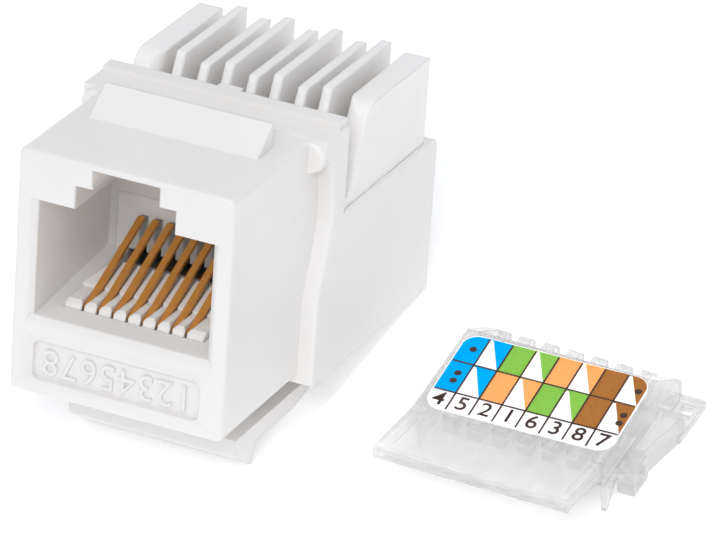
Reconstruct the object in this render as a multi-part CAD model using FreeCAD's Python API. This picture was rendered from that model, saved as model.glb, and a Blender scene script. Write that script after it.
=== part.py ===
import FreeCAD, Part

import math
import os

from FreeCAD import Vector

# Keystone jack for an 8-wire network plug, with the clear wiring cap lying beside it. Millimetres.
# The moulding is drawn with its front face at y = 0, its underside at z = 0 and its middle at x = 0.
# At the end it is shifted so that the origin is the middle of the panel cut-out, at the panel's back.

# Eight wires
contact_count = 8

# Clearances
fit_gap = 0.05
slide_gap = 0.10

# Front body, the part that comes through the panel
port_width = 12.0
port_wall = 1.35
body_width = port_width + 2 * port_wall
body_height = 16.4
long_edge_round = 0.4
front_edge_round = 0.35

# Plug port in the front body, with its stepped notch for the plug's tab
port_depth = 10.4
port_top = 13.15
port_bevel = 0.4
lip_chamfer = 0.2
floor_front = 5.25
floor_back = 6.15
notch_width = 6.8
notch_top = 14.7
slot_width = 4.5
slot_top = 16.05

# Shallow field on the front face, below the port
field_width = 11.5
field_bottom = 1.1
field_height = 2.65
field_depth = 0.3
field_round = 0.5

# Fixed hook on top of the front body
hook_width = 11.6
hook_front = 6.3
hook_back = 8.4
hook_height = 1.67

# Row of wire slots and fins, which sets the width behind the panel
fin_pitch = 1.71
fin_width = 0.68
end_fin_width = 1.7
block_margin = 0.25
block_width = contact_count * fin_pitch - fin_width + 2 * end_fin_width
flange_width = block_width + 2 * block_margin

# Flange that stops against the back of the panel
panel_gap = 2.0
flange_back = 14.1
flange_bottom = -0.45
flange_rise = 0.1
flange_foot = 10.9
flange_waist = 12.35
flange_waist_z = 10.6
ear_radius = 1.05
bar_width = 16.5
bar_depth = 1.1
bar_rise = 0.55
tab_width = 1.6
tab_depth = 0.5

# Rear box of the same moulding
box_back = 28.4
box_top = 10.4
box_wall = 1.0
box_floor = 1.65
box_round = 0.8
rail_width = 0.85

# Spring contacts
contact_pitch = 1.016
contact_width = 0.43
contact_thickness = 0.28
contact_reach = 7.9
contact_rise = 25.2
contact_pivot_y = 2.85
contact_pivot_z = 5.36
contact_root = 0.17
leg_z = 4.05

# Comb insert that carries the contacts
comb_width = 9.6
guide_width = 11.0
gap_width = 10.4
well_width = 9.0
comb_front = 2.15
comb_bottom = 3.4
comb_wall = 1.95
comb_top = 10.0
rib_nose = 0.45
nose_slot = 0.2
end_rib_slope = 0.75
rib_front_top = 5.9
rib_step_y = 4.6
rib_step = 0.14
rib_end = 7.35
rib_end_top = 6.85
arm_floor = 4.6
well_floor = 4.3
guide_depth = 1.0
guide_bottom = 6.2
guide_top = 8.7

# Circuit board
board_thickness = 1.2
board_top = 8.6
board_margin = 0.25
board_headroom = 0.8
leg_row_front = 14.4
leg_row_back = 16.3
leg_stub = 0.6

# Wire block with its fins
fin_top = 16.4
tall_fin_rise = 0.45
fin_back = 26.7
fin_front = 15.1
fin_lean = 2.6
fin_nose_round = 0.5
fin_edge_round = 0.25
end_nose_round = 1.6
end_fin_round = 1.1
block_step = 0.75
plug_front = 17.6

# Slotted blades that bite the wires
blade_width = 1.7
blade_thickness = 0.45
blade_top = 14.8
blade_slit = 0.3
blade_slit_depth = 3.6
blade_mouth = 0.9
blade_tail_width = 0.7
blade_tail = 1.0
blade_row_front = 20.4
blade_row_back = 23.6

# Sprung latch arm under the body
latch_width = 11.7
latch_front = 5.65
latch_top = -2.6
latch_thickness = 1.25
latch_face = 1.1
latch_hook_y = 8.3
latch_hook_drop = 1.5
latch_leg = 1.7
latch_pivot_y = 17.9
latch_bend = 1.3
latch_pivot_drop = 0.25

# Clear wiring cap in its own frame: x across, y back from the front lip, z up from the bench
cap_width = 13.2
cap_depth = 13.5
cap_lip_height = 5.05
cap_fold = 5.75
cap_fold_height = 4.15
cap_back_height = 4.65
cap_lip = 1.1
cap_lip_round = 0.35
cap_plate = 0.85
cap_wall = 0.75
cap_gusset_drop = 2.2
prong_start = 5.65
prong_tip = 0.3
prong_width = 1.4
prong_thickness = 0.35
clip_start = 7.35
clip_width = 2.1
clip_out = 1.15
clip_bottom = 0.3
clip_top = 2.1
clip_rim = 0.45
wall_clear = 1.2
shoulder_back = 16.8
shoulder_height = 2.4
shoulder_round = 0.6
wing_start = 9.9
wing_out = 1.5
wing_height = 1.9
wing_back = 14.2
foot_hole = 0.9
foot_back = 17.6
foot_height = 0.55
finger_width = 0.85
finger_top = 2.0
finger_bottom = 0.3
finger_slope = 0.4
presser_drop = 2.3
cap_x = 21.5
cap_y = -1.2
cap_turn = -1.6

# Printed label on the cap
label_width = 12.7
label_front_margin = 0.25
label_back_margin = 0.35
label_thickness = 0.12
label_round = 1.1
label_shift = 0.15
label_turn = 1.7

# Panel that the jack snaps into
cutout_height = 19.4


def box(x0, x1, y0, y1, z0, z1):
    return Part.makeBox(x1 - x0, y1 - y0, z1 - z0, Vector(x0, y0, z0))


def across(width, y0, y1, z0, z1):
    """Box centred on x = 0."""
    return box(-width / 2, width / 2, y0, y1, z0, z1)


def side_prism(outline, x0, x1):
    """Prism along X whose outline is given as (y, z) corners."""
    corners = [Vector(x0, y, z) for y, z in outline]
    return Part.Face(Part.makePolygon(corners + corners[:1])).extrude(Vector(x1 - x0, 0, 0))


def plan_prism(outline, z0, z1):
    """Prism along Z whose outline is given as (x, y) corners."""
    corners = [Vector(x, y, z0) for x, y in outline]
    return Part.Face(Part.makePolygon(corners + corners[:1])).extrude(Vector(0, 0, z1 - z0))


def rod(radius, width, y, z):
    """Cylinder along X, centred on x = 0."""
    return Part.makeCylinder(radius, width, Vector(-width / 2, y, z), Vector(1, 0, 0))


def edges_at(shape, test):
    """Straight edges whose two end points both pass the test."""
    found = []
    for edge in shape.Edges:
        ends = [v.Point for v in edge.Vertexes]
        if len(ends) == 2 and all(test(p) for p in ends):
            found.append(edge)
    return found


def near(a, b):
    return abs(a - b) < 1e-6


def mirrored(shape):
    return shape.mirror(Vector(0, 0, 0), Vector(1, 0, 0))


def cut_all(solid, tools):
    return solid.cut(tools[0].fuse(tools[1:]))


def contact_x(index):
    return (index - (contact_count - 1) / 2) * contact_pitch


def slot_x(index):
    return (index - (contact_count - 1) / 2) * fin_pitch


def leg_y(index):
    return leg_row_front if index % 2 == 0 else leg_row_back


def blade_y(index):
    return blade_row_front if index % 2 == 0 else blade_row_back


# Housing


def front_body():
    """Front block with its long edges and its front edges rounded."""
    body = across(body_width, 0, flange_back, 0, body_height)
    corners = [e for e in body.Edges if not near(e.Vertexes[0].Y, e.Vertexes[1].Y)]
    body = body.makeFillet(long_edge_round, corners)
    front = [e for e in body.Edges if max(v.Y for v in e.Vertexes) < 1e-6]
    return body.makeFillet(front_edge_round, front)


def flange():
    """Stop flange whose front swells back to a waist and forward again, seen from the side."""
    swell = flange_waist - flange_foot
    top = body_height + flange_rise
    turns = [(flange_foot, 5.2), (flange_foot + 0.45 * swell, 7.5), (flange_waist, flange_waist_z)]
    turns += [(flange_foot + 0.75 * swell, 13.4), (flange_foot, body_height - ear_radius)]
    points = [Vector(0, y, z) for y, z in turns]
    curve = Part.BSplineCurve()
    curve.interpolate(points)
    corners = [points[-1], Vector(0, flange_foot, top), Vector(0, flange_back, top)]
    corners += [Vector(0, flange_back, flange_bottom), Vector(0, flange_foot, flange_bottom), points[0]]
    edges = [curve.toShape()] + [Part.makeLine(a, b) for a, b in zip(corners, corners[1:])]
    face = Part.Face(Part.Wire(edges))
    face.translate(Vector(-flange_width / 2, 0, 0))
    return face.extrude(Vector(flange_width, 0, 0))


def ears():
    """Rounded ear at each upper corner, which bears on the back of the panel."""
    start = hook_back + panel_gap
    length = flange_back - start
    height = body_height - ear_radius
    reach = flange_width / 2 - ear_radius
    ear = Part.makeCylinder(ear_radius, length, Vector(reach, start, height), Vector(0, 1, 0))
    web = across(2 * reach, start, flange_back, height - ear_radius, body_height)
    return web.fuse([ear, mirrored(ear)])


def hook():
    """Fixed hook: a ramp with a square back that holds the panel."""
    root = body_height - long_edge_round
    top = body_height + hook_height
    outline = [(hook_front, root), (hook_front, body_height), (hook_back, top), (hook_back, root)]
    return side_prism(outline, -hook_width / 2, hook_width / 2)


def bar():
    """Bar across the top of the flange, with a small tab behind its middle."""
    top = body_height + bar_rise
    strip = across(bar_width, flange_back - bar_depth, flange_back, body_height - bar_rise, top)
    tab = across(tab_width, flange_back, flange_back + tab_depth, body_height - 2 * bar_rise, top)
    return strip.fuse(tab)


def rear_box():
    """Outside of the rear box, its top back edge rounded."""
    block = across(flange_width, flange_foot + 1, box_back, flange_bottom, box_top)
    back = edges_at(block, lambda p: near(p.y, box_back) and near(p.z, box_top))
    return block.makeFillet(box_round, back)


def floor_z(y):
    """Height of the port's floor, which rises a little towards the back."""
    return floor_front + (floor_back - floor_front) * y / port_depth


def port_space():
    """Air inside the plug port: room, stepped tab notch, bevelled sides and chamfered lip."""
    before = -1.0
    outline = [(before, floor_z(before)), (port_depth, floor_back)]
    outline += [(port_depth, port_top), (before, port_top)]
    room = side_prism(outline, -port_width / 2, port_width / 2)
    step = across(notch_width, before, port_depth, port_top - fit_gap, notch_top)
    slot = across(slot_width, before, port_depth, notch_top - fit_gap, slot_top)
    inner = port_width / 2
    outer = inner + port_bevel
    mouth = [(-inner, port_bevel), (-outer, 0), (-outer, before)]
    mouth += [(outer, before), (outer, 0), (inner, port_bevel)]
    bevel = plan_prism(mouth, floor_front, port_top)
    low = floor_front - lip_chamfer
    slope = [(before, low), (0, low), (lip_chamfer, floor_z(lip_chamfer)), (before, floor_back)]
    lip = side_prism(slope, -outer, outer)
    return room.fuse([step, slot, bevel, lip])


def comb_space():
    """Channel and window that the comb insert is pressed into from the rear box."""
    back = port_depth + comb_wall + slide_gap
    low = comb_bottom - fit_gap
    channel = across(comb_width + 2 * fit_gap, comb_front - fit_gap, back, low, floor_back)
    window = across(guide_width, port_depth, back, low, comb_top)
    return channel.fuse(window)


def box_space():
    """Open-topped room in the rear box, narrower below the rails that carry the board."""
    front = port_depth + comb_wall + slide_gap
    back = box_back - box_wall
    half = flange_width / 2 - box_wall
    shelf = board_top - board_thickness
    low = box(rail_width - half, half - rail_width, front, back, flange_bottom + box_floor, board_top)
    high = box(-half, half, front, back, shelf, board_top + board_headroom)
    mouth = box(-half, half, flange_back, back, board_top, box_top + 1)
    return low.fuse([high, mouth])


def latch_pivot_z():
    return flange_bottom - latch_pivot_drop


def housing():
    """Front body, flange, ears, bar, hook and rear box in one moulding."""
    solid = front_body().fuse([flange(), ears(), bar(), hook(), rear_box()]).removeSplitter()
    field = across(field_width, -1, field_depth, field_bottom, field_bottom + field_height)
    corners = [e for e in field.Edges if not near(e.Vertexes[0].Y, e.Vertexes[1].Y)]
    field = field.makeFillet(field_round, corners)
    groove = rod(latch_leg / 2 + fit_gap, latch_width + 2 * fit_gap, latch_pivot_y, latch_pivot_z())
    for space in (port_space(), comb_space(), box_space(), groove, field):
        solid = solid.cut(space)
    return solid


# Spring contacts and their comb


def contact(index):
    """Spring arm of one contact: a flat strip on a round root, rising to the guide wall."""
    strip = across(contact_width, 0, contact_reach, -contact_thickness / 2, contact_thickness / 2)
    arm = strip.fuse(rod(contact_root, contact_width, 0, 0)).removeSplitter()
    arm.rotate(Vector(0, 0, 0), Vector(1, 0, 0), contact_rise)
    arm.translate(Vector(contact_x(index), contact_pivot_y, contact_pivot_z))
    return arm


def contact_leg(index):
    """Fixed end of one contact: down the comb's nose, back under it and up through the board."""
    x0 = contact_x(index) - contact_width / 2
    x1 = x0 + contact_width
    half = contact_thickness / 2
    front = contact_pivot_y - contact_root
    back = leg_y(index) + half
    top = contact_pivot_z - contact_root - fit_gap
    nose = box(x0, x1, front, front + contact_thickness, leg_z - half, top)
    run = box(x0, x1, front, back, leg_z - half, leg_z + half)
    rise = box(x0, x1, back - contact_thickness, back, leg_z - half, board_top + leg_stub)
    return nose.fuse([run, rise]).removeSplitter()


def comb_outline():
    """Side view of the comb: sloping nose, low front, small step, rising ribs and a low back."""
    front = comb_front
    back = port_depth + comb_wall
    step_z = rib_front_top + rib_step
    nose = [(front, comb_bottom), (front, floor_z(front))]
    nose += [(front + rib_nose / 4, rib_front_top - rib_nose / 2), (front + rib_nose, rib_front_top)]
    rib = [(rib_step_y, rib_front_top), (rib_step_y, step_z)]
    rib += [(rib_end - rib_nose / 2, rib_end_top), (rib_end, rib_end_top - rib_nose / 2)]
    return nose + rib + [(rib_end, floor_back), (back, floor_back), (back, comb_bottom)]


def rib_slot(x):
    """Slot between two ribs, narrow at their noses and wide enough for a contact behind them."""
    wide = contact_width / 2 + fit_gap
    thin = nose_slot / 2
    foot = contact_pivot_y - contact_root - fit_gap
    middle = (comb_front + foot) / 2
    end = rib_end + fit_gap
    plan = [(x - thin, comb_front - 1), (x + thin, comb_front - 1), (x + thin, middle), (x + wide, foot)]
    plan += [(x + wide, end), (x - wide, end), (x - wide, foot), (x - thin, middle)]
    return plan_prism(plan, arm_floor, rib_end_top + 1)


def end_rib_flank():
    """Wedge cut off the outside of the right-hand end rib, which falls away to the port's wall."""
    inner = contact_x(contact_count - 1) + contact_width / 2 + fit_gap
    outer = comb_width / 2
    low = rib_end_top - end_rib_slope
    corners = [Vector(inner, rib_step_y, rib_end_top), Vector(outer, rib_step_y, low)]
    corners += [Vector(outer, rib_step_y, rib_end_top + 1), Vector(inner, rib_step_y, rib_end_top + 1)]
    face = Part.Face(Part.makePolygon(corners + corners[:1]))
    return face.extrude(Vector(0, rib_end - rib_step_y, 0))


def contact_carrier():
    """Comb insert: nine ribs that keep the contacts apart, a well, and a guide wall over a dark gap."""
    wall = across(guide_width, port_depth, port_depth + comb_wall, comb_bottom, comb_top)
    solid = side_prism(comb_outline(), -comb_width / 2, comb_width / 2).fuse(wall)
    back = port_depth + comb_wall + 1
    leg_low = leg_z - contact_thickness / 2 - fit_gap
    leg_high = leg_z + contact_thickness / 2 + fit_gap
    nose_front = contact_pivot_y - contact_root - fit_gap
    nose_back = contact_pivot_y + contact_root + fit_gap
    guide_back = port_depth + guide_depth
    cuts = [end_rib_flank(), mirrored(end_rib_flank())]
    for index in range(contact_count):
        left = contact_x(index) - contact_width / 2 - fit_gap
        right = left + contact_width + 2 * fit_gap
        cuts.append(box(left, right, nose_front, back, leg_low, leg_high))
        cuts.append(box(left, right, nose_front, nose_back, leg_low, floor_back))
        cuts.append(rib_slot(contact_x(index)))
        cuts.append(box(left, right, port_depth - fit_gap, guide_back, guide_bottom - 1, guide_top))
    cuts.append(across(well_width, rib_end, port_depth + fit_gap, well_floor, guide_bottom))
    cuts.append(across(gap_width, port_depth, back, well_floor, guide_bottom))
    return cut_all(solid, cuts)


# Circuit board, wire block and blades


def circuit_board():
    """Board on the rails of the rear box, with slots for the contact legs and the blades."""
    half = flange_width / 2 - box_wall - board_margin
    front = port_depth + comb_wall + slide_gap + board_margin
    back = box_back - box_wall - board_margin
    bottom = board_top - board_thickness
    slots = []
    for index in range(contact_count):
        slots.append((contact_x(index), leg_y(index), contact_width, contact_thickness))
        slots.append((slot_x(index), blade_y(index), blade_tail_width, blade_thickness))
    holes = []
    for x, y, wide, deep in slots:
        dx = wide / 2 + fit_gap
        dy = deep / 2 + fit_gap
        holes.append(box(x - dx, x + dx, y - dy, y + dy, bottom - 1, board_top + 1))
    return cut_all(box(-half, half, front, back, bottom, board_top), holes)


def fin_face(top, nose_round):
    """Side view of a fin: nose leaning back, rounded into a flat top, square back."""
    foot = box_top + block_step
    lean = math.atan2(top - foot, fin_lean)
    nose = fin_front + fin_lean
    tangent = nose_round * math.tan(lean / 2)
    low = Vector(0, nose - tangent * math.cos(lean), top - tangent * math.sin(lean))
    high = Vector(0, nose + tangent, top)
    turn = (math.pi + lean) / 2
    drop = nose_round * (1 - math.sin(turn))
    middle = Vector(0, high.y + nose_round * math.cos(turn), top - drop)
    corners = [high, Vector(0, fin_back, top), Vector(0, fin_back, box_top), Vector(0, fin_front, box_top)]
    corners += [Vector(0, fin_front, foot), low]
    edges = [Part.Arc(low, middle, high).toShape()]
    edges += [Part.makeLine(a, b) for a, b in zip(corners, corners[1:])]
    return Part.Face(Part.Wire(edges))


def fin(x0, x1, top, nose_round, edge_round, rounded):
    """Fin from x0 to x1 whose slanting nose has the upright edges at the rounded x places eased."""
    foot = box_top + block_step
    block = box(x0, x1, fin_front, fin_back, foot, top)
    uprights = edges_at(block, lambda p: near(p.y, fin_front) and any(near(p.x, x) for x in rounded))
    block = block.makeFillet(edge_round, [e for e in uprights if near(e.Vertexes[0].X, e.Vertexes[1].X)])
    plan = [f for f in block.Faces if near(f.BoundBox.ZMax, foot)][0]
    face = fin_face(top, nose_round)
    face.translate(Vector(x0, 0, 0))
    return face.extrude(Vector(x1 - x0, 0, 0)).common(plan.extrude(Vector(0, fin_lean, top - foot)))


def inner_fin(index):
    """Thin fin between two wire slots; every second one stands higher."""
    x = (index - contact_count / 2) * fin_pitch
    left = x - fin_width / 2
    right = x + fin_width / 2
    top = fin_top + tall_fin_rise if index % 2 == 1 else fin_top
    return fin(left, right, top, fin_nose_round, fin_edge_round, (left, right))


def end_fin():
    """Wide fin at the right-hand end of the row, its inner front edge well rounded."""
    outer = block_width / 2
    inner = outer - end_fin_width
    return fin(inner, outer, fin_top, end_nose_round, end_fin_round, (inner,))


def idc_block():
    """Wire block: a base that plugs into the rear box, with nine fins and eight wire slots."""
    half = flange_width / 2 - box_wall - slide_gap
    back = box_back - box_wall - slide_gap
    base = across(block_width, flange_back + slide_gap, fin_back, box_top, box_top + block_step)
    plug = box(-half, half, plug_front, back, board_top + fit_gap, box_top)
    fins = [inner_fin(index) for index in range(1, contact_count)]
    solid = base.fuse([plug, end_fin(), mirrored(end_fin())] + fins).removeSplitter()
    pockets = []
    for index in range(contact_count):
        dx = blade_width / 2 + fit_gap
        dy = blade_thickness / 2 + fit_gap
        x = slot_x(index)
        y = blade_y(index)
        pockets.append(box(x - dx, x + dx, y - dy, y + dy, board_top, blade_top + fit_gap))
    return cut_all(solid, pockets)


def idc_blade(index):
    """Slotted blade: shoulders on the board, a tail through it and a slit open at the top."""
    half = blade_width / 2
    tail = blade_tail_width / 2
    slit = blade_slit / 2
    mouth = blade_mouth / 2
    neck = blade_top - mouth
    low = board_top - board_thickness - blade_tail
    side = [(tail, low), (tail, board_top), (half, board_top), (half, blade_top)]
    side += [(mouth, blade_top), (slit, neck), (slit, blade_top - blade_slit_depth)]
    outline = side + [(-u, w) for u, w in reversed(side)]
    corners = [Vector(u, -blade_thickness / 2, w) for u, w in outline]
    blade = Part.Face(Part.makePolygon(corners + corners[:1])).extrude(Vector(0, blade_thickness, 0))
    blade.translate(Vector(slot_x(index), blade_y(index), 0))
    return blade


# Latch arm


def latch_hook_z():
    return latch_top - latch_thickness - latch_hook_drop


def latch_arm():
    """Sprung arm with the lower hook, bent up to a round root under the rear box."""
    half = latch_width / 2
    bottom = latch_top - latch_thickness
    leg_front = latch_pivot_y - latch_leg / 2
    leg_back = latch_pivot_y + latch_leg / 2
    root = latch_pivot_z()
    tip = latch_hook_z()
    outline = [(latch_front, latch_top), (latch_front, latch_top - latch_face), (latch_hook_y - fit_gap, tip)]
    outline += [(latch_hook_y, tip), (latch_hook_y + slide_gap, bottom), (leg_back, bottom), (leg_back, root)]
    outline += [(leg_front, root), (leg_front, latch_top)]
    arm = side_prism(outline, -half, half)
    bends = edges_at(arm, lambda p: near(p.y, leg_back) and near(p.z, bottom))
    bends += edges_at(arm, lambda p: near(p.y, leg_front) and near(p.z, latch_top))
    arm = arm.makeFillet(latch_bend, bends)
    return arm.fuse(rod(latch_leg / 2, latch_width, latch_pivot_y, root)).removeSplitter()


# Wiring cap, in its own frame


def cap_plate_solid():
    """Top plate: flat under the label, folded up a little towards its thin front lip."""
    lip_z = cap_lip_height - cap_lip
    outline = [(0, lip_z), (0, cap_lip_height), (cap_fold, cap_fold_height), (cap_depth, cap_back_height)]
    outline += [(cap_depth, cap_back_height - cap_plate), (cap_fold, cap_fold_height - cap_plate)]
    outline += [(cap_lip, lip_z)]
    plate = side_prism(outline, -cap_width / 2, cap_width / 2)
    front = edges_at(plate, lambda p: near(p.y, 0) and near(p.z, cap_lip_height))
    front += edges_at(plate, lambda p: near(p.y, 0) and near(p.z, lip_z))
    return plate.makeFillet(cap_lip_round, front)


def cap_side():
    """Right-hand side wall with its prong, snap clip, splayed wing, foot and sloping rear shoulder."""
    half = cap_width / 2
    inner = half - cap_wall
    outer = half + wing_out
    prong_end = prong_start + prong_width
    gusset_low = cap_lip_height - cap_gusset_drop
    outline = [(cap_lip, cap_lip_height - cap_lip), (prong_start, gusset_low), (prong_end, wall_clear)]
    outline += [(wing_start, wall_clear), (wing_start, 0), (shoulder_back, 0)]
    outline += [(shoulder_back, shoulder_height), (cap_depth, cap_back_height)]
    outline += [(cap_fold, cap_fold_height - cap_plate / 2)]
    wall = side_prism(outline, inner, half)
    wall = wall.makeFillet(shoulder_round, edges_at(wall, lambda p: p.y > cap_depth and p.z > clip_bottom))
    outline = [(prong_start, gusset_low), (prong_start, 0), (prong_start + prong_tip, 0)]
    outline += [(prong_end, wall_clear), (prong_end, gusset_low)]
    prong = side_prism(outline, half - prong_thickness, half)
    clip_end = clip_start + clip_width
    clip = box(half, half + clip_out, clip_start, clip_end, clip_bottom, clip_top)
    low = clip_bottom + clip_rim
    high = clip_top - clip_rim
    window = box(inner - 1, half + clip_out + 1, clip_start + clip_rim, clip_end - clip_rim, low, high)
    plan = [(inner, wing_start), (half + wing_out / 2, wing_start), (outer, wing_back), (inner, wing_back)]
    wing = plan_prism(plan, 0, wing_height)
    foot = box(inner, outer, cap_depth, foot_back, 0, foot_height)
    side = (half + outer - foot_hole) / 2
    hole = box(side, side + foot_hole, foot_back - 2 * foot_hole, foot_back - foot_hole, -1, 1)
    return wall.fuse([prong, clip, wing, foot]).cut(window).cut(hole)


def wiring_cap():
    """Clear cap: plate, two side walls and eight pressers that run back as fingers behind the plate."""
    pieces = [cap_side(), mirrored(cap_side())]
    low = cap_fold_height - presser_drop
    web = cap_depth - cap_plate
    high = cap_fold_height - cap_plate / 2
    finger = [(cap_fold, low), (web, low), (web, finger_bottom), (foot_back, finger_bottom)]
    finger += [(foot_back, finger_top - finger_slope), (foot_back - finger_slope, finger_top)]
    finger += [(cap_depth, finger_top), (cap_depth, high), (cap_fold, high)]
    for index in range(contact_count):
        x = slot_x(index)
        pieces.append(side_prism(finger, x - finger_width / 2, x + finger_width / 2))
    return cap_plate_solid().fuse(pieces).removeSplitter()


def cap_label():
    """Printed label on the flat of the cap, with rounded corners, stuck on a little askew by hand."""
    run = cap_depth - cap_fold
    rise = cap_back_height - cap_fold_height
    length = math.hypot(run, rise)
    label_back = length - label_back_margin
    sheet = across(label_width, label_front_margin, label_back, 0, label_thickness)
    corners = [e for e in sheet.Edges if not near(e.Vertexes[0].Z, e.Vertexes[1].Z)]
    sheet = sheet.makeFillet(label_round, corners)
    middle = Vector(0, (label_front_margin + label_back) / 2, 0)
    sheet.rotate(middle, Vector(0, 0, 1), label_turn)
    sheet.translate(Vector(label_shift, 0, 0))
    sheet.rotate(Vector(0, 0, 0), Vector(1, 0, 0), math.degrees(math.atan2(rise, run)))
    sheet.translate(Vector(0, cap_fold, cap_fold_height))
    return sheet


def to_bench(shape):
    """Set a cap piece on the bench that the loose jack leans on: latch hook to lower rear edge."""
    tilt = math.atan2(flange_bottom - latch_hook_z(), box_back - latch_hook_y)
    placed = shape.copy()
    placed.rotate(Vector(0, 0, 0), Vector(0, 0, 1), cap_turn)
    placed.translate(Vector(cap_x, cap_y, 0))
    placed.rotate(Vector(0, 0, 0), Vector(1, 0, 0), math.degrees(tilt))
    placed.translate(Vector(0, latch_hook_y, latch_hook_z()))
    return placed


def build():
    """All sub-parts by node name, in the drawing frame."""
    parts = {
        "housing": housing(),
        "latch_arm": latch_arm(),
        "contact_carrier": contact_carrier(),
        "contact_legs": Part.makeCompound([contact_leg(index) for index in range(contact_count)]),
        "circuit_board": circuit_board(),
        "idc_block": idc_block(),
        "wiring_cap": to_bench(wiring_cap()),
        "cap_label": to_bench(cap_label()),
    }
    for index in range(contact_count):
        parts["contact_%d" % (index + 1)] = contact(index)
        parts["idc_blade_%d" % (index + 1)] = idc_blade(index)
    return parts


seat = Vector(0, hook_back + panel_gap, body_height - cutout_height / 2)
os.makedirs("parts", exist_ok=True)
for name, shape in build().items():
    shape.translate(-seat)
    shape.exportStep("parts/%s.step" % name)
    print(name, len(shape.Solids), "solids", round(shape.Volume, 3), shape.isValid())
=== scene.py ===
import math

import bpy
from mathutils import Matrix, Vector


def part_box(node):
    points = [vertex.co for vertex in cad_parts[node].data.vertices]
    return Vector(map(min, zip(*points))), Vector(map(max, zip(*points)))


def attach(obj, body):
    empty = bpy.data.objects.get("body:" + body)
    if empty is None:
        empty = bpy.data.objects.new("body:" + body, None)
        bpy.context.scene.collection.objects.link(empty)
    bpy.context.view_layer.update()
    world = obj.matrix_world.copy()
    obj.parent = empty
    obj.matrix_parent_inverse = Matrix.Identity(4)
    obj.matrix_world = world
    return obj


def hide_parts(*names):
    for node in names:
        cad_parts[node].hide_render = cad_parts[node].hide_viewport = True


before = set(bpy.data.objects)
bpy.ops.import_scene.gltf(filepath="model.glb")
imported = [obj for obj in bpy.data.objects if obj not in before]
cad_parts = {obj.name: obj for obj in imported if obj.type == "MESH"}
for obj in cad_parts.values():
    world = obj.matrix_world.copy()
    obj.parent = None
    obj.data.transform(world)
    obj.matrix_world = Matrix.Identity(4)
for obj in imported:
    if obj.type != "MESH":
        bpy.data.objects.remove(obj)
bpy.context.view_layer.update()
mm = 0.001
print("frame loaded:", len(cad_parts), "CAD nodes")


def deselectAll():
    if bpy.context.object and bpy.context.object.mode != "OBJECT":
        bpy.ops.object.mode_set(mode="OBJECT")
    bpy.ops.object.select_all(action="DESELECT")


def activate(piece):  # the one piece that the operators work on
    deselectAll()
    piece.select_set(True)
    bpy.context.view_layer.objects.active = piece


def coat(piece, material):  # its only material
    piece.data.materials.clear()
    piece.data.materials.append(material)


def linearColour(hexText):  # sRGB hex to linear RGBA
    values = [int(hexText[i:i + 2], 16) / 255 for i in (0, 2, 4)]
    linear = [v / 12.92 if v <= 0.04045 else ((v + 0.055) / 1.055) ** 2.4 for v in values]
    return (*linear, 1.0)


def addNode(tree, kind, settings=None, links=None):
    # one node with its values and its links; "stops" gives a colour ramp its places and hex colours
    node = tree.nodes.new(kind)
    for key, value in (settings or {}).items():
        if key == "stops":
            for element, (place, hexText) in zip(node.color_ramp.elements, value):
                element.position = place
                element.color = linearColour(hexText)
        elif isinstance(key, int) or key in node.inputs:
            node.inputs[key].default_value = value
        else:
            setattr(node, key, value)
    for key, source in (links or {}).items():
        tree.links.new(source, node.inputs[key])
    return node


def newMaterial(name):
    material = bpy.data.materials.new(name)
    material.use_nodes = True
    material.node_tree.nodes.clear()
    return material, material.node_tree


def mouldedPlastic(name, look):
    # Injection-moulded polycarbonate: a satin skin with the mould's fine spark grain, a slow drift of tone
    # and a little light passing through thin walls. The grain is drawn coarser than the real one, to show.
    material, tree = newMaterial(name)
    swing = 0.05  # of the roughness, over the grain
    coords = addNode(tree, "ShaderNodeTexCoord")
    drift = addNode(tree, "ShaderNodeTexNoise", {"Scale": 1 / look["drift"], "Detail": 2.0},
                    {"Vector": coords.outputs["Object"]})
    tone = addNode(tree, "ShaderNodeValToRGB", {"stops": ((0.35, look["shade"]), (0.65, look["light"]))},
                   {"Fac": drift.outputs["Fac"]})
    grain = addNode(tree, "ShaderNodeTexNoise",
                    {"Scale": 1 / look["grain"], "Detail": 3.0, "Roughness": 0.6},
                    {"Vector": coords.outputs["Object"]})
    gloss = addNode(tree, "ShaderNodeMapRange",
                    {"From Min": 0.3, "From Max": 0.7,
                     "To Min": look["rough"] - swing, "To Max": look["rough"] + swing},
                    {"Value": grain.outputs["Fac"]})
    edge = addNode(tree, "ShaderNodeBevel", {"samples": 8, "Radius": look["edge"]})
    bump = addNode(tree, "ShaderNodeBump", {"Strength": 0.25, "Distance": look["relief"]},
                   {"Height": grain.outputs["Fac"], "Normal": edge.outputs["Normal"]})
    shader = addNode(tree, "ShaderNodeBsdfPrincipled",
                     {"IOR": 1.57, "Subsurface Weight": look["glow"], "Subsurface Scale": look["depth"],
                      "Subsurface Radius": (1.0, 0.95, 0.9)},
                     {"Base Color": tone.outputs["Color"], "Roughness": gloss.outputs["Result"],
                      "Normal": bump.outputs["Normal"]})
    addNode(tree, "ShaderNodeOutputMaterial", {}, {"Surface": shader.outputs["BSDF"]})
    return material


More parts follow.
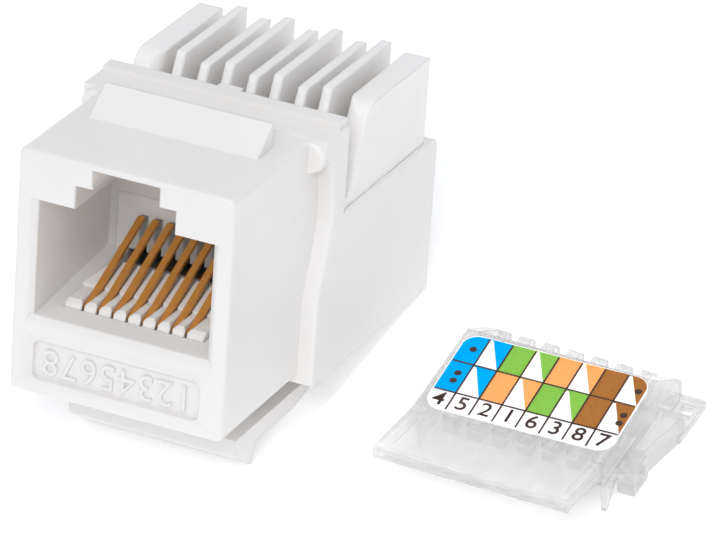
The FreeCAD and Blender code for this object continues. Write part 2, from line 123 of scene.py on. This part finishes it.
def springStrip(name, look):
    # Rolled and plated spring strip: fine rolling lines along its length, softly polished. The lines are
    # drawn coarser than the real ones, to show.
    material, tree = newMaterial(name)
    swing = 0.06  # of the roughness, over the lines
    coords = addNode(tree, "ShaderNodeTexCoord")
    stretch = addNode(tree, "ShaderNodeMapping", {"Scale": look["stretch"]},
                      {"Vector": coords.outputs["Object"]})
    lines = addNode(tree, "ShaderNodeTexNoise", {"Scale": 1 / look["line"], "Detail": 3.0},
                    {"Vector": stretch.outputs["Vector"]})
    tone = addNode(tree, "ShaderNodeValToRGB", {"stops": ((0.3, look["shade"]), (0.7, look["light"]))},
                   {"Fac": lines.outputs["Fac"]})
    gloss = addNode(tree, "ShaderNodeMapRange",
                    {"From Min": 0.3, "From Max": 0.7,
                     "To Min": look["rough"] - swing, "To Max": look["rough"] + swing},
                    {"Value": lines.outputs["Fac"]})
    edge = addNode(tree, "ShaderNodeBevel", {"samples": 4, "Radius": look["edge"]})
    bump = addNode(tree, "ShaderNodeBump", {"Strength": 0.2, "Distance": look["relief"]},
                   {"Height": lines.outputs["Fac"], "Normal": edge.outputs["Normal"]})
    shader = addNode(tree, "ShaderNodeBsdfPrincipled", {"Metallic": look["metal"]},
                     {"Base Color": tone.outputs["Color"], "Roughness": gloss.outputs["Result"],
                      "Normal": bump.outputs["Normal"]})
    addNode(tree, "ShaderNodeOutputMaterial", {}, {"Surface": shader.outputs["BSDF"]})
    return material


def clearPlastic(name, look):
    # Clear injection-moulded polycarbonate: glossy and see-through, with milky flow marks from the mould.
    # "clear" is the share that refracts, and what "body" leaves lets light straight through.
    material, tree = newMaterial(name)
    swing = 0.1  # of the roughness, over the flow marks
    coords = addNode(tree, "ShaderNodeTexCoord")
    stretch = addNode(tree, "ShaderNodeMapping", {"Scale": look["stretch"]},
                      {"Vector": coords.outputs["Object"]})
    flow = addNode(tree, "ShaderNodeTexNoise",
                   {"Scale": 1 / look["ripple"], "Detail": 3.0, "Roughness": 0.55},
                   {"Vector": stretch.outputs["Vector"]})
    tone = addNode(tree, "ShaderNodeValToRGB", {"stops": ((0.35, look["shade"]), (0.65, look["light"]))},
                   {"Fac": flow.outputs["Fac"]})
    gloss = addNode(tree, "ShaderNodeMapRange", {"To Min": look["rough"], "To Max": look["rough"] + swing},
                    {"Value": flow.outputs["Fac"]})
    edge = addNode(tree, "ShaderNodeBevel", {"samples": 4, "Radius": look["edge"]})
    bump = addNode(tree, "ShaderNodeBump", {"Strength": 0.5, "Distance": look["relief"]},
                   {"Height": flow.outputs["Fac"], "Normal": edge.outputs["Normal"]})
    shader = addNode(tree, "ShaderNodeBsdfPrincipled",
                     {"IOR": 1.585, "Transmission Weight": look["clear"], "Alpha": look["body"]},
                     {"Base Color": tone.outputs["Color"], "Roughness": gloss.outputs["Result"],
                      "Normal": bump.outputs["Normal"]})
    addNode(tree, "ShaderNodeOutputMaterial", {}, {"Surface": shader.outputs["BSDF"]})
    return material


def printedFilm(name, look):
    # Ink or lacquer on a flat film: an even, matt colour with the speckle of its print, which is drawn
    # coarser than the real one, to show. An ior near 1 leaves almost no gloss.
    material, tree = newMaterial(name)
    relief = 0.002 * mm  # of the speckle
    coords = addNode(tree, "ShaderNodeTexCoord")
    speckle = addNode(tree, "ShaderNodeTexNoise", {"Scale": 1 / look["dot"], "Detail": 1.0},
                      {"Vector": coords.outputs["Object"]})
    tone = addNode(tree, "ShaderNodeValToRGB", {"stops": ((0.25, look["shade"]), (0.75, look["light"]))},
                   {"Fac": speckle.outputs["Fac"]})
    bump = addNode(tree, "ShaderNodeBump", {"Strength": 0.1, "Distance": relief},
                   {"Height": speckle.outputs["Fac"]})
    shader = addNode(tree, "ShaderNodeBsdfPrincipled", {"Roughness": look["rough"], "IOR": look["ior"]},
                     {"Base Color": tone.outputs["Color"], "Normal": bump.outputs["Normal"]})
    addNode(tree, "ShaderNodeOutputMaterial", {}, {"Surface": shader.outputs["BSDF"]})
    return material


shellLook = dict(shade="edebe8", light="eeecea", rough=0.34, drift=5 * mm, grain=0.12 * mm, relief=0.003 * mm,
                 edge=0.1 * mm, glow=0.15, depth=0.6 * mm)
combLook = dict(shade="f0eeea", light="f3f1ee", rough=0.3, drift=2 * mm, grain=0.1 * mm, relief=0.004 * mm,
                edge=0.14 * mm, glow=0.15, depth=0.5 * mm)
# the fins' white is a lighter copy of the shell's plastic: painted light that brightens the shaded gaps
# between the fins
finPaintedLightLook = dict(shade="f4f2ef", light="f7f5f3", rough=0.38, drift=5 * mm, grain=0.12 * mm, relief=0.006 * mm,
               edge=0.2 * mm, glow=0.3, depth=0.8 * mm)
goldLook = dict(shade="da9340", light="e5a252", rough=0.42, line=0.06 * mm, stretch=(1.0, 0.08, 0.08),
                relief=0.002 * mm, edge=0.05 * mm, metal=0.55)
tinLook = dict(shade="a09a90", light="c4c0b8", rough=0.35, line=0.06 * mm, stretch=(1.0, 1.0, 0.08),
               relief=0.002 * mm, edge=0.05 * mm, metal=1.0)
clearLook = dict(shade="efeeec", light="fdfcfa", rough=0.04, ripple=1.0 * mm, stretch=(1.0, 0.4, 1.0),
                 relief=0.05 * mm, edge=0.12 * mm, clear=0.65, body=0.66)
inkLook = dict(dot=0.12 * mm, rough=0.6, ior=1.02)
boardLook = dict(shade="14261b", light="1c3326", dot=0.3 * mm, rough=0.5, ior=1.5)
inks = {
    "film": dict(shade="fdfdfd", light="fefefe"),
    "blue": dict(shade="009ce2", light="02a2e8"),
    "green": dict(shade="78b046", light="84ba50"),
    "orange": dict(shade="f59c58", light="fda868"),
    "brown": dict(shade="986030", light="a6703a"),
    "line": dict(shade="443530", light="4e3e38"),
}
shell = mouldedPlastic("whitePolycarbonateShell", shellLook)
comb = mouldedPlastic("whitePolycarbonateComb", combLook)
# the fins' finish is the shell's plastic made lighter, painted light for the shade between the fins
finsPaintedLight = mouldedPlastic("whitePolycarbonateFinsPaintedLight", finPaintedLightLook)
gold = springStrip("goldPlatedBronze", goldLook)
tin = springStrip("tinnedBronze", tinLook)
clear = clearPlastic("clearPolycarbonate", clearLook)
ink = {key: printedFilm("labelInk_" + key, {**inkLook, **colours}) for key, colours in inks.items()}
board = printedFilm("solderMaskedLaminate", boardLook)
print("finishes made")


for node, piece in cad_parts.items():
    if node.startswith("contact_"):
        coat(piece, gold)
    elif node.startswith("idc_blade"):
        coat(piece, tin)
coat(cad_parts["housing"], shell)
coat(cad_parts["latch_arm"], shell)
coat(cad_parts["contact_carrier"], comb)
coat(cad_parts["idc_block"], finsPaintedLight)
coat(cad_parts["circuit_board"], board)
coat(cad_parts["wiring_cap"], clear)
coat(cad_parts["cap_label"], ink["film"])
print("CAD nodes dressed")


def clearPick(piece, kind):  # nothing selected, ready to pick vertices or edges
    activate(piece)
    bpy.ops.object.mode_set(mode="EDIT")
    bpy.ops.mesh.select_mode(type=kind)
    bpy.ops.mesh.select_all(action="DESELECT")
    bpy.ops.object.mode_set(mode="OBJECT")


def pick(piece, test):  # into edit mode with only the vertices that pass the test selected
    clearPick(piece, "VERT")
    for vertex in piece.data.vertices:
        vertex.select = test(vertex.co)
    bpy.ops.object.mode_set(mode="EDIT")


def pickEdges(piece, test):  # into edit mode with only the edges whose two ends pass the test selected
    clearPick(piece, "EDGE")
    corners = piece.data.vertices
    for edge in piece.data.edges:
        edge.select = test(*(corners[i].co for i in edge.vertices))
    bpy.ops.object.mode_set(mode="EDIT")


def thicken(piece, thickness):  # a flat piece grows towards its face's front
    activate(piece)
    skin = piece.modifiers.new("skin", "SOLIDIFY")
    skin.thickness = thickness
    skin.offset = 1.0
    bpy.ops.object.modifier_apply(modifier=skin.name)


def joinAll(pieces, name):
    deselectAll()
    for piece in pieces:
        piece.select_set(True)
    bpy.context.view_layer.objects.active = pieces[0]
    bpy.ops.object.join()
    pieces[0].name = name
    pieces[0].data.name = name
    return pieces[0]


def settle(piece, matrix):  # puts a flat-built piece in place, with its object at the origin
    activate(piece)
    piece.matrix_world = matrix @ piece.matrix_world
    bpy.ops.object.transform_apply(location=True, rotation=True, scale=True)
    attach(piece, "base")


def addSheet(x0, x1, y0, y1, z):
    deselectAll()
    bpy.ops.mesh.primitive_plane_add(size=1, location=((x0 + x1) / 2, (y0 + y1) / 2, z))
    piece = bpy.context.object
    piece.scale = (x1 - x0, y1 - y0, 1)
    bpy.ops.object.transform_apply(location=True, rotation=False, scale=True)
    return piece


def addDigit(text, size, x, y, z, bold):
    deselectAll()
    bpy.ops.object.text_add(location=(x, y, z))
    piece = bpy.context.object
    piece.data.body = text
    piece.data.size = size
    piece.data.offset = bold
    piece.data.align_x = "CENTER"
    piece.data.align_y = "CENTER"
    bpy.ops.object.convert(target="MESH")
    bpy.ops.object.transform_apply(location=True, rotation=True, scale=True)
    return bpy.context.object


shellPlan = dict(weld=0.001 * mm, near=0.02 * mm, steps=7, flat=0.5, crease=14,  # the last two in degrees
                 stepY=1.5 * mm, stepZ=3.7 * mm, stepBack=0.43 * mm, stepWeld=0.01 * mm,
                 lipHalf=6.41 * mm, lipZ=-1.66 * mm, lipFront=0.1 * mm, lipBack=0.3 * mm, lipReach=0.3 * mm,
                 lipDrop=0.2 * mm, lipGrow=0.15 * mm, lipNarrow=0.976, lipRound=0.2 * mm,
                 mouthTop=9.3 * mm, earFront=0.0 * mm, earSide=7.45 * mm, earRound=0.25 * mm,
                 swellSide=8.449 * mm, swellBack=2.2 * mm, swellTop=8.32 * mm, swellRound=0.22 * mm)


def roundedShell():
    # the housing again, with the moulding's rounded port mouth, lip, swell, foot and ears and one smooth
    # flange front
    piece = bpy.data.objects.new("housing_shell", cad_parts["housing"].data.copy())
    bpy.context.scene.collection.objects.link(piece)
    piece.data.name = piece.name

    def weldAll(reach):
        pick(piece, lambda co: True)
        bpy.ops.mesh.remove_doubles(threshold=reach)

    def roundEdges(radius, test):
        pickEdges(piece, test)
        bpy.ops.mesh.bevel(offset=radius, segments=shellPlan["steps"], affect="EDGES", clamp_overlap=False)

    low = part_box("housing")[0]
    front = low.y
    near = shellPlan["near"]
    weldAll(shellPlan["weld"])
    bpy.ops.mesh.dissolve_limited(angle_limit=math.radians(shellPlan["flat"]))
    pick(piece, lambda co: abs(co.y - shellPlan["stepY"]) < near and abs(co.z - shellPlan["stepZ"]) < near)
    bpy.ops.transform.translate(value=(0, shellPlan["stepBack"], 0))
    weldAll(shellPlan["stepWeld"])
    bpy.ops.object.mode_set(mode="OBJECT")

    lipZ = shellPlan["lipZ"]
    pick(piece, lambda co: front + shellPlan["lipFront"] < co.y < front + shellPlan["lipBack"]
         and abs(co.x) < shellPlan["lipHalf"] and abs(co.z - lipZ) < shellPlan["lipReach"])
    bpy.ops.transform.translate(value=(0, shellPlan["lipGrow"], 0))
    bpy.ops.transform.resize(value=(shellPlan["lipNarrow"], 1, 1), center_override=(0, 0, 0))

    def atMouth(co):
        return abs(co.y - front) < shellPlan["weld"] and abs(co.x) < shellPlan["lipHalf"] and co.z > lipZ

    pick(piece, lambda co: atMouth(co) and co.z < lipZ + near)
    bpy.ops.transform.translate(value=(0, 0, -shellPlan["lipDrop"]))
    lipZ -= shellPlan["lipDrop"]
    roundEdges(shellPlan["lipRound"],
               lambda a, b: atMouth(a) and atMouth(b) and min(a.z, b.z) < shellPlan["mouthTop"])
    side, back, top = shellPlan["swellSide"], shellPlan["swellBack"], shellPlan["swellTop"]
    foot = low.z + near

    def atSwell(co):
        return abs(co.x) > side and co.y < back and co.z < top

    def atFoot(co):
        return co.y < back and co.z < foot

    def atEar(co):
        return abs(co.y - shellPlan["earFront"]) < near and abs(co.x) > shellPlan["earSide"]

    roundEdges(shellPlan["swellRound"], lambda a, b: (atSwell(a) and atSwell(b)) or (atFoot(a) and atFoot(b)))
    roundEdges(shellPlan["earRound"], lambda a, b: atEar(a) and atEar(b))
    weldAll(shellPlan["weld"])  # bevels that meet leave some corners doubled
    bpy.ops.object.mode_set(mode="OBJECT")
    bpy.ops.object.shade_smooth_by_angle(angle=math.radians(shellPlan["crease"]))
    coat(piece, shell)
    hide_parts("housing")
    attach(piece, "base")


roundedShell()
print("shell rounded")

labelPlan = dict(columns=8, rows=(0.236, 0.388, 0.376), digits="45216387", digitSize=1.68 * mm,
                 bold=0.012 * mm, skin=0.012 * mm, lift=0.006 * mm, corner=1.1 * mm, cornerSteps=10,
                 margin=0.06 * mm, rule=0.12 * mm, apex=0.12, stripeGaps=2.5, dot=0.24 * mm, dotSteps=24,
                 dotPitch=0.75 * mm, leftInset=0.15 * mm, rightInset=0.35 * mm, straight=2 * mm,
                 level=0.02 * mm, near=0.01 * mm, rowNear=0.1 * mm)


def labelFrame():
    # the label's own frame: origin at its front left corner on its top face, X to the right, Y to the back
    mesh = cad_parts["cap_label"].data
    flat = max(mesh.polygons, key=lambda p: p.area * max(p.normal.z, 0))
    normal = flat.normal.copy()
    height = flat.center.dot(normal)
    top = [v.co for v in mesh.vertices if abs(v.co.dot(normal) - height) < labelPlan["level"]]

    def reach(side):
        back = normal.cross(side)
        across = [p.dot(side) for p in top]
        along = [p.dot(back) for p in top]
        return min(across), max(across), min(along), max(along)

    def boxArea(side):
        u0, u1, v0, v1 = reach(side)
        return (u1 - u0) * (v1 - v0)

    sides = [mesh.vertices[e.vertices[1]].co - mesh.vertices[e.vertices[0]].co for e in mesh.edges]
    sides = [s.normalized() for s in sides
             if s.length > labelPlan["straight"] and abs(s.dot(normal)) < labelPlan["near"]]
    side = min(sides, key=boxArea)  # the straight edge that the smallest box lies along
    if abs(side.x) < abs(side.y):
        side = side.cross(normal)
    if side.x < 0:
        side = -side
    u0, u1, v0, v1 = reach(side)
    back = normal.cross(side)
    turn = Matrix((side, back, normal)).transposed().to_4x4()
    return Matrix.Translation(side * u0 + back * v0 + normal * height) @ turn, u1 - u0, v1 - v0


labelMatrix, labelWidth, labelDepth = labelFrame()
rowEdges = [0.0]
for share in labelPlan["rows"]:
    rowEdges.append(rowEdges[-1] + share * labelDepth)
columnEdges = [i * labelWidth / labelPlan["columns"] for i in range(labelPlan["columns"] + 1)]
fieldInks = ("blue", "green", "orange", "brown")
rowInks = {  # one ink for each pair of fields
    1: ("blue", "orange", "green", "brown"),
    2: ("blue", "green", "orange", "brown"),
}
print("label frame", round(labelWidth / mm, 3), "x", round(labelDepth / mm, 3), "mm")


def middleOf(edges, index):
    return (edges[index] + edges[index + 1]) / 2


def labelFields():
    margin = labelPlan["margin"]
    x0, x1 = margin, labelWidth - margin
    y0, y1 = rowEdges[1], labelDepth - margin
    middle = (y0 + y1) / 2
    deselectAll()
    bpy.ops.mesh.primitive_grid_add(x_subdivisions=labelPlan["columns"], y_subdivisions=2, size=1,
                                    location=((x0 + x1) / 2, middle, labelPlan["lift"]))
    piece = bpy.context.object
    piece.name = piece.data.name = "label_fields"
    piece.scale = (x1 - x0, y1 - y0, 1)
    bpy.ops.object.transform_apply(location=True, rotation=False, scale=True)
    pick(piece, lambda co: abs(co.y - middle) < labelPlan["rowNear"])  # the rows differ a little in height
    bpy.ops.transform.translate(value=(0, rowEdges[2] - middle, 0))
    bpy.ops.object.mode_set(mode="OBJECT")
    for key in fieldInks:
        piece.data.materials.append(ink[key])
    for face in piece.data.polygons:
        pair = min(int(face.center.x / labelWidth * labelPlan["columns"] / 2), len(fieldInks) - 1)
        row = 2 if face.center.y > rowEdges[2] else 1
        face.material_index = fieldInks.index(rowInks[row][pair])
    near = labelPlan["near"]  # the two back corners follow the label's round corners
    pick(piece, lambda co: co.y > y1 - near and (co.x < x0 + near or co.x > x1 - near))
    bpy.ops.mesh.bevel(offset=labelPlan["corner"] - margin, segments=labelPlan["cornerSteps"],
                       affect="VERTICES")
    bpy.ops.object.mode_set(mode="OBJECT")
    thicken(piece, labelPlan["skin"])
    settle(piece, labelMatrix)


def labelStripes():
    # white half of a striped wire's field, in front of the diagonal from its back left to its front right
    gap = labelPlan["rule"] / 2
    triangles = []
    for row in (1, 2):
        for column in range(1, labelPlan["columns"], 2):
            x0, x1 = columnEdges[column] + gap, columnEdges[column + 1] - gap
            y0, y1 = rowEdges[row] + gap, rowEdges[row + 1] - labelPlan["stripeGaps"] * gap
            piece = addSheet(x0, x1, y0, y1, labelPlan["lift"] + labelPlan["skin"])
            pick(piece, lambda co: co.x > (x0 + x1) / 2 and co.y > (y0 + y1) / 2)
            bpy.ops.transform.translate(value=((labelPlan["apex"] - 1) * (x1 - x0), 0, 0))
            bpy.ops.object.mode_set(mode="OBJECT")
            triangles.append(piece)
    piece = joinAll(triangles, "label_stripes")
    coat(piece, ink["film"])
    thicken(piece, labelPlan["skin"])
    settle(piece, labelMatrix)


def labelRules():
    half = labelPlan["rule"] / 2
    high = labelPlan["lift"] + 2 * labelPlan["skin"]
    strips = [addSheet(x - half, x + half, half, labelDepth - 2 * half, high) for x in columnEdges[1:-1]]
    strips += [addSheet(2 * half, labelWidth - 2 * half, y - half, y + half, high) for y in rowEdges[1:3]]
    piece = joinAll(strips, "label_rules")
    coat(piece, ink["line"])
    thicken(piece, labelPlan["skin"])
    settle(piece, labelMatrix)


def labelDigits():
    high = labelPlan["lift"] + labelPlan["skin"]
    dotColumns = ((0, labelPlan["leftInset"]), (labelPlan["columns"] - 1, labelPlan["rightInset"]))
    marks = []
    for column, text in enumerate(labelPlan["digits"]):
        x = middleOf(columnEdges, column)
        marks.append(addDigit(text, labelPlan["digitSize"], x, rowEdges[1] / 2, high, labelPlan["bold"]))
    for row, count in ((2, 1), (1, 2)):  # one dot marks the back row, two dots the front row
        for column, inset in dotColumns:
            x = middleOf(columnEdges, column) + inset
            for index in range(count):
                y = middleOf(rowEdges, row) + (index - (count - 1) / 2) * labelPlan["dotPitch"]
                deselectAll()
                bpy.ops.mesh.primitive_circle_add(vertices=labelPlan["dotSteps"], radius=labelPlan["dot"],
                                                  fill_type="NGON", location=(x, y, high + labelPlan["skin"]))
                bpy.ops.object.transform_apply(location=True, rotation=False, scale=False)
                marks.append(bpy.context.object)
    piece = joinAll(marks, "label_digits")
    coat(piece, ink["line"])
    thicken(piece, labelPlan["skin"])
    settle(piece, labelMatrix)


labelFields()
labelStripes()
labelRules()
labelDigits()
print("label printed")

markPlan = dict(recessBack=-10.1 * mm, sink=0.01 * mm, z=-4.28 * mm, relief=0.17 * mm, digits="12345678",
                digitSize=2.5 * mm, bold=0.0, pitch=1.32 * mm)


def recessMarks():
    # plain contact numbers, which stand on their heads
    pieces = []
    for index, text in enumerate(markPlan["digits"]):
        x = (index - (len(markPlan["digits"]) - 1) / 2) * markPlan["pitch"]
        pieces.append(addDigit(text, markPlan["digitSize"], x, 0, 0, markPlan["bold"]))
    piece = joinAll(pieces, "recess_marks")
    coat(piece, shell)
    thicken(piece, markPlan["relief"])
    place = Matrix.Translation((0, markPlan["recessBack"] + markPlan["sink"], markPlan["z"]))
    upright = Matrix.Rotation(math.radians(90), 4, "X")
    settle(piece, place @ upright @ Matrix.Rotation(math.radians(180), 4, "Z"))


recessMarks()
print("recess marked")

benchPlan = dict(hookY=-2.1 * mm, gap=0.02 * mm, radius=0.22, steps=96, fadeStart=0.1, white=0.93, light=0.26,
                 inset=0.4, fadeEnd=0.95)  # shares of the radius


def whiteBench():
    # the bench that the loose jack leans on: latch hook to lower back edge
    hook = Vector((0, benchPlan["hookY"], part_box("latch_arm")[0].z))
    heel = Vector((0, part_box("housing")[1].y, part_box("housing")[0].z))
    slope = heel - hook
    tilt = math.atan2(slope.z, slope.y)
    deselectAll()
    bpy.ops.mesh.primitive_circle_add(vertices=benchPlan["steps"], radius=benchPlan["radius"],
                                      fill_type="NGON")
    piece = bpy.context.object
    piece.name = "bench"
    bpy.ops.object.mode_set(mode="EDIT")
    bpy.ops.mesh.select_all(action="SELECT")
    bpy.ops.mesh.inset(thickness=benchPlan["radius"] * benchPlan["inset"], depth=0)
    bpy.ops.object.mode_set(mode="OBJECT")
    drop = Matrix.Translation(hook - Vector((0, 0, benchPlan["gap"])))
    piece.matrix_world = drop @ Matrix.Rotation(tilt, 4, "X")
    # matt white paper that glows a little and fades at its rim; it is clear from below, where it would hide
    # the part
    material, tree = newMaterial("benchPaper")
    coords = addNode(tree, "ShaderNodeTexCoord")
    reach = addNode(tree, "ShaderNodeVectorMath", {"operation": "LENGTH"}, {0: coords.outputs["Object"]})
    fade = addNode(tree, "ShaderNodeMapRange",
                   {"From Min": benchPlan["fadeStart"],
                    "From Max": benchPlan["radius"] * benchPlan["fadeEnd"]},
                   {"Value": reach.outputs["Value"]})
    side = addNode(tree, "ShaderNodeNewGeometry")
    veil = addNode(tree, "ShaderNodeMath", {"operation": "MAXIMUM"},
                   {0: fade.outputs["Result"], 1: side.outputs["Backfacing"]})
    white = (benchPlan["white"], benchPlan["white"], benchPlan["white"], 1)
    paper = addNode(tree, "ShaderNodeBsdfPrincipled",
                    {"Base Color": white, "Roughness": 1.0, "Specular IOR Level": 0.0,
                     "Emission Color": white, "Emission Strength": benchPlan["light"]})
    gone = addNode(tree, "ShaderNodeBsdfTransparent")
    mix = addNode(tree, "ShaderNodeMixShader", {},
                  {0: veil.outputs[0], 1: paper.outputs[0], 2: gone.outputs[0]})
    addNode(tree, "ShaderNodeOutputMaterial", {}, {"Surface": mix.outputs[0]})
    coat(piece, material)


studioPlan = dict(place=(146.725 * mm, -316.174 * mm, 162.673 * mm), azimuth=23.193, elevation=25.045,
                  roll=4.088, lens=308.04, sensor=36, nearest=0.01, skyTint=(0.97, 0.985, 1.03, 1),
                  skyLow=0.64, skyHigh=0.74)
lampPlan = {
    "frontKey": dict(aim="housing", place=(0.108, -0.357, 0.251), size=0.16, spread=180, watts=0.56),
    "edgeKey": dict(aim="housing", place=(-0.16, -0.19, 0.375), size=0.05, spread=180, watts=0.1),
    "capLamp": dict(aim="wiring_cap", place=(0.015, -0.025, 0.095), size=0.02, spread=20, watts=0.0006),
}


def studioWorld():
    world = bpy.data.worlds.new("whiteStudio")
    bpy.context.scene.world = world
    world.use_nodes = True
    tree = world.node_tree
    tree.nodes.clear()
    coords = addNode(tree, "ShaderNodeTexCoord")
    height = addNode(tree, "ShaderNodeSeparateXYZ", {}, {"Vector": coords.outputs["Generated"]})
    glow = addNode(tree, "ShaderNodeMapRange",
                   {"To Min": studioPlan["skyLow"], "To Max": studioPlan["skyHigh"]},
                   {"Value": height.outputs["Z"]})
    sky = addNode(tree, "ShaderNodeBackground", {"Color": studioPlan["skyTint"]},
                  {"Strength": glow.outputs["Result"]})
    addNode(tree, "ShaderNodeOutputWorld", {}, {"Surface": sky.outputs[0]})


def studioCamera():
    azimuth, elevation, roll = (math.radians(studioPlan[key]) for key in ("azimuth", "elevation", "roll"))
    flat = math.cos(elevation)
    back = Vector((math.sin(azimuth) * flat, -math.cos(azimuth) * flat, math.sin(elevation)))
    right = Vector((math.cos(azimuth), math.sin(azimuth), 0))
    right = right * math.cos(roll) + back.cross(right) * math.sin(roll)
    up = back.cross(right)
    camera = bpy.data.objects.new("studioCamera", bpy.data.cameras.new("studioCamera"))
    bpy.context.scene.collection.objects.link(camera)
    camera.data.lens = studioPlan["lens"]
    camera.data.sensor_width = studioPlan["sensor"]
    camera.data.clip_start = studioPlan["nearest"]
    turn = Matrix((right, up, back)).transposed().to_4x4()
    camera.matrix_world = Matrix.Translation(studioPlan["place"]) @ turn
    bpy.context.scene.camera = camera


def softLamp(name, plan):
    data = bpy.data.lights.new(name, "AREA")
    data.shape = "DISK"
    data.size = plan["size"]
    data.energy = plan["watts"]
    data.spread = math.radians(plan["spread"])
    lamp = bpy.data.objects.new(name, data)
    bpy.context.scene.collection.objects.link(lamp)
    lamp.visible_camera = False
    low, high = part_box(plan["aim"])
    beam = Vector(plan["place"])
    turn = beam.to_track_quat("Z", "Y").to_matrix().to_4x4()
    lamp.matrix_world = Matrix.Translation((low + high) / 2 + beam) @ turn


whiteBench()
studioWorld()
studioCamera()
for name, plan in lampPlan.items():
    softLamp(name, plan)
bpy.context.scene.view_settings.view_transform = "Standard"
print("studio ready")
